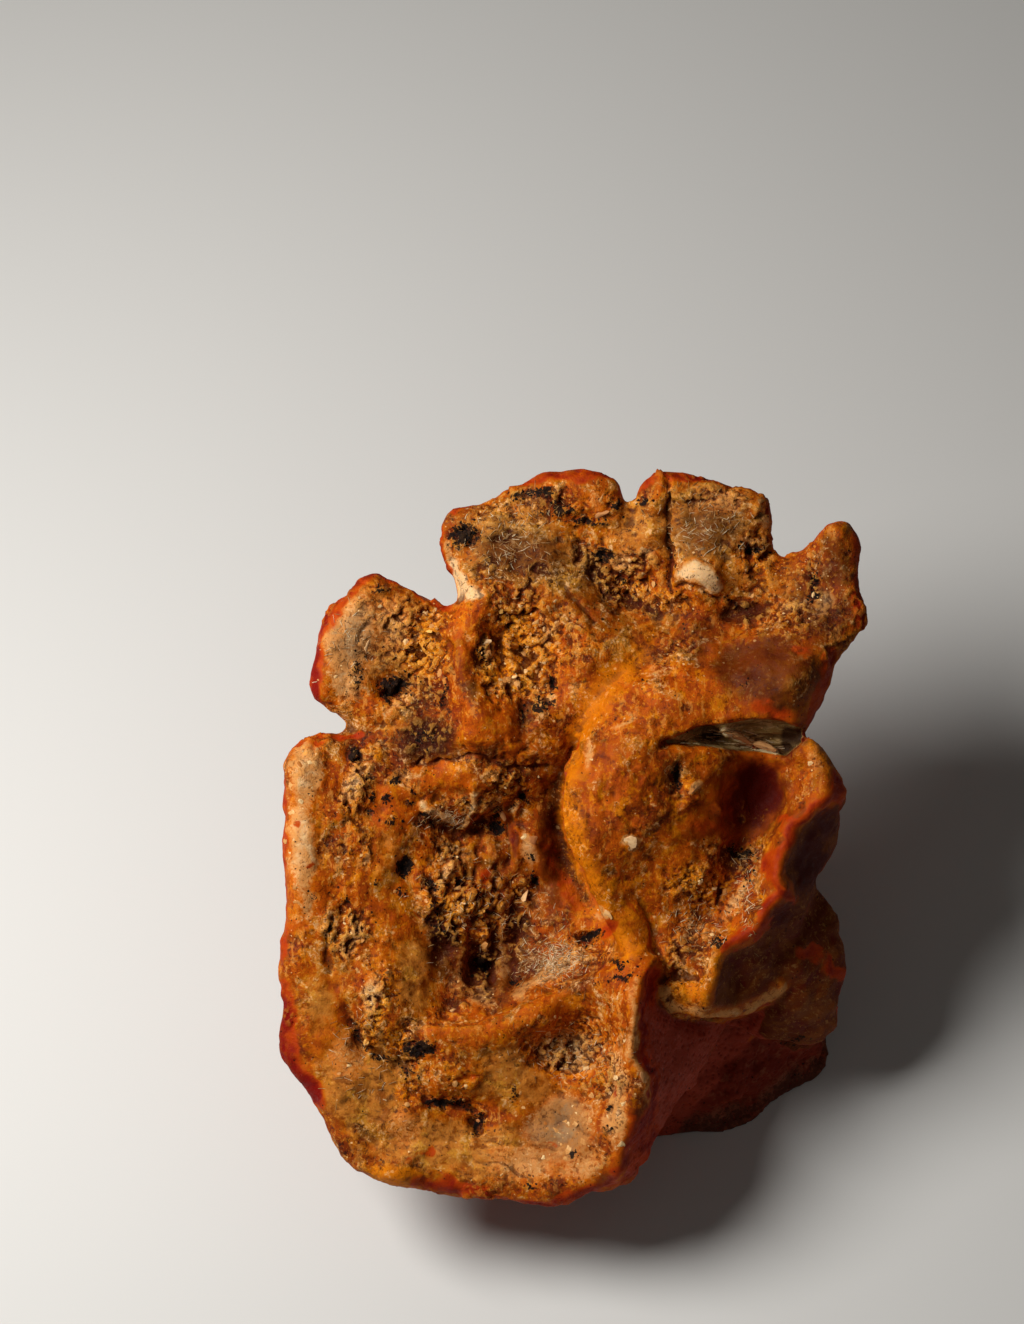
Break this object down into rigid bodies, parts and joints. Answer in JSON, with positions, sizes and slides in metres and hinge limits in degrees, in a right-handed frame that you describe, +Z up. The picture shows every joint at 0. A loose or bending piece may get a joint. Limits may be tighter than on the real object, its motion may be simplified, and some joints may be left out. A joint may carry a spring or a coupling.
{
  "type": "lobster mushroom",
  "caption": "Folded, lobed lobster mushroom with a funnel-like cap, a torn right lobe and a stout stem cut off flat at the ground.",
  "frame": {"origin": "middle of the cap's length and width, at the height of the stem's flat cut", "axes": "+Z up from the cut, +Y from the low front edge of the cap towards its raised back edge, +X to the right seen from the front"},
  "size_m": [0.1077, 0.1179, 0.0933],
  "materials": {
    "crust": "dry matte orange-brown crust, rough and finely pimpled, with cream flesh where it is torn"
  },
  "bodies": {
    "root": {"mushroom": "crust"}
  },
  "joints": []
}
